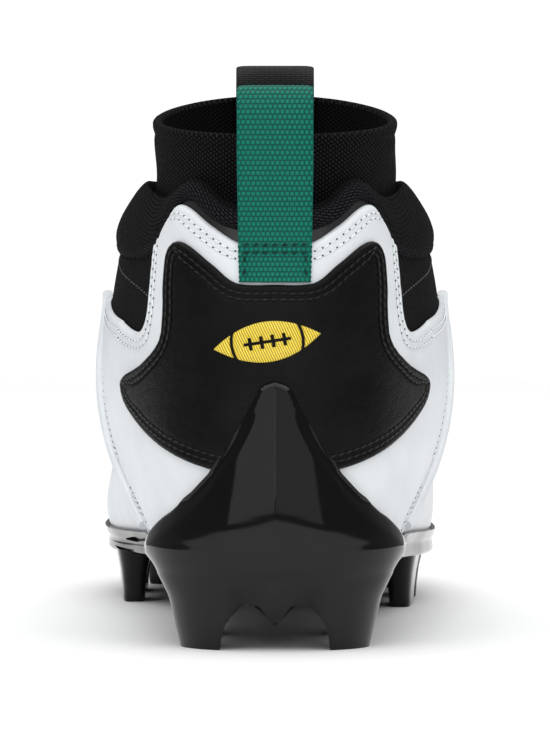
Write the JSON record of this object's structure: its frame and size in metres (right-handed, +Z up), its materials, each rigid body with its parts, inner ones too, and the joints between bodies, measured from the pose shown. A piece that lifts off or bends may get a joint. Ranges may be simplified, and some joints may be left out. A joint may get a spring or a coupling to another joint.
{
  "type": "american football cleat",
  "caption": "Mid-cut right shoe with a knitted sock collar, leather heel overlays, rear and front pull loops and a moulded plate that rises into a heel spike and carries bladed studs.",
  "frame": {"origin": "on the ground, below the middle of the whole shoe's outline seen from above", "axes": "+Y from heel to toe, +X to the outer side of this right foot, +Z up"},
  "size_m": [0.104, 0.2924, 0.1626],
  "materials": {
    "upper": "white coated leather, pierced over the forefoot, black smooth cloth under the collar",
    "quarter": "smooth white leather, soft gloss, double stitched",
    "heel_panel": "fine-grained black leather, satin",
    "outsole": "high gloss black moulded plate",
    "sock_collar": "black ribbed knit",
    "collar_pad": "black padded knit",
    "tongue": "black knit",
    "eyestay": "black leather, satin",
    "laces": "flat black woven lace",
    "insole": "black cloth-topped foam",
    "heel_pull_loop": "green woven webbing",
    "front_pull_loop": "black woven webbing"
  },
  "bodies": {
    "root": {"upper": "upper", "quarter": "quarter", "heel_panel": "heel_panel", "outsole": "outsole", "sock_collar": "sock_collar", "collar_pad": "collar_pad", "tongue": "tongue", "eyestay": "eyestay", "laces": "laces", "insole": "insole", "heel_pull_loop": "heel_pull_loop", "front_pull_loop": "front_pull_loop"}
  },
  "joints": []
}
